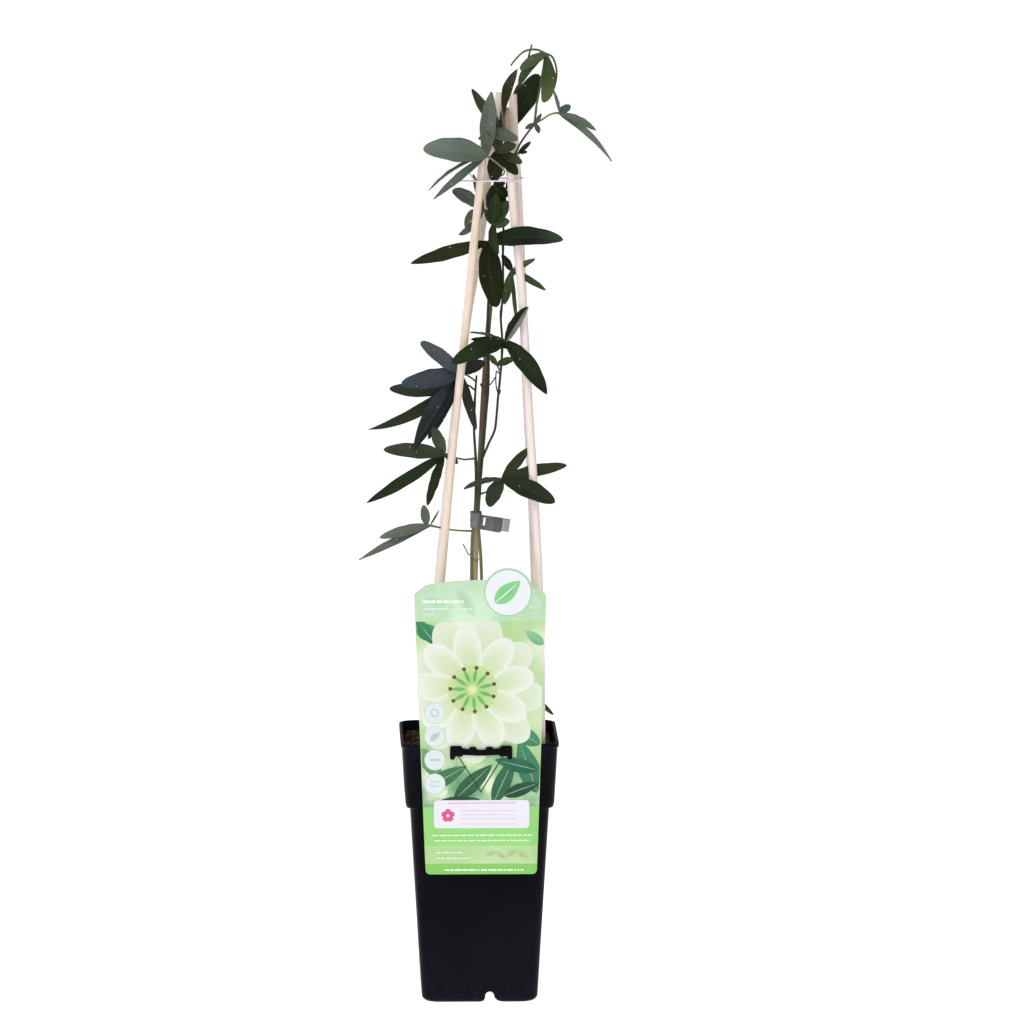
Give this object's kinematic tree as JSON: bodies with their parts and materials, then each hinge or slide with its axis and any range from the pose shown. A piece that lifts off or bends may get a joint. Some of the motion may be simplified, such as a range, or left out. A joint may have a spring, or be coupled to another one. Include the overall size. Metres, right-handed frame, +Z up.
{
  "type": "potted passion flower vine",
  "caption": "Young climbing passion flower with palmate leaves, trained up a wigwam of slender canes in a tall square pot, with a large hanging label on the pot's front.",
  "frame": {"origin": "middle of the pot's flat underside, on the surface it stands on", "axes": "+Z up along the plant, -Y out of the pot's labelled front, +X to the right as seen from the front"},
  "size_m": [0.1968, 0.1258, 0.7429],
  "materials": {
    "pot_plastic": "satin black, thin injection-moulded polypropylene",
    "soil": "crumbly dark brown peat compost",
    "cane": "smooth pale split bamboo, cream to pink",
    "thin_cane": "thin tan cane, slightly rough",
    "stem": "olive green stem, woody at its foot, with thin tendrils",
    "leaf_glossy": "dark green glossy upper face",
    "leaf_blue": "dark leaf with a blue-grey sheen",
    "leaf_underside": "matt grey-green underside",
    "leaf_fresh": "young brighter green",
    "tie_wire": "thin white coated wire",
    "clip_plastic": "grey spring clip",
    "label_sheet": null
  },
  "bodies": {
    "root": {"pot": "pot_plastic", "soil": "soil", "cane_front_left": "cane", "cane_back_left": "cane", "cane_front_right": "cane", "cane_back_right": "cane", "cane_thin_centre": "thin_cane", "stem_main": "stem", "stem_left": "stem", "leaf_low_left": "leaf_underside", "leaf_left": "leaf_glossy", "leaf_middle_left": "leaf_blue", "leaf_middle_left_behind": "leaf_glossy", "leaf_centre_right": "leaf_glossy", "leaf_small_middle": "leaf_fresh", "leaf_right": "leaf_glossy", "leaf_upper": "leaf_glossy", "leaf_top_left": "leaf_underside", "leaf_small_left": "leaf_glossy", "leaf_small_right": "leaf_fresh", "leaf_inner_low": "leaf_fresh", "leaf_inner_middle": "leaf_glossy", "leaf_inner_high": "leaf_glossy", "leaf_crown": "leaf_glossy", "leaf_crown_front": "leaf_glossy", "leaf_crown_back": "leaf_glossy", "leaf_small_top": "leaf_glossy", "leaf_top_right": "leaf_underside", "leaf_shoot": "leaf_fresh", "leaf_base_right": "leaf_glossy", "cane_tie": "tie_wire", "stem_clip": "clip_plastic", "hang_label": "label_sheet"}
  },
  "joints": []
}
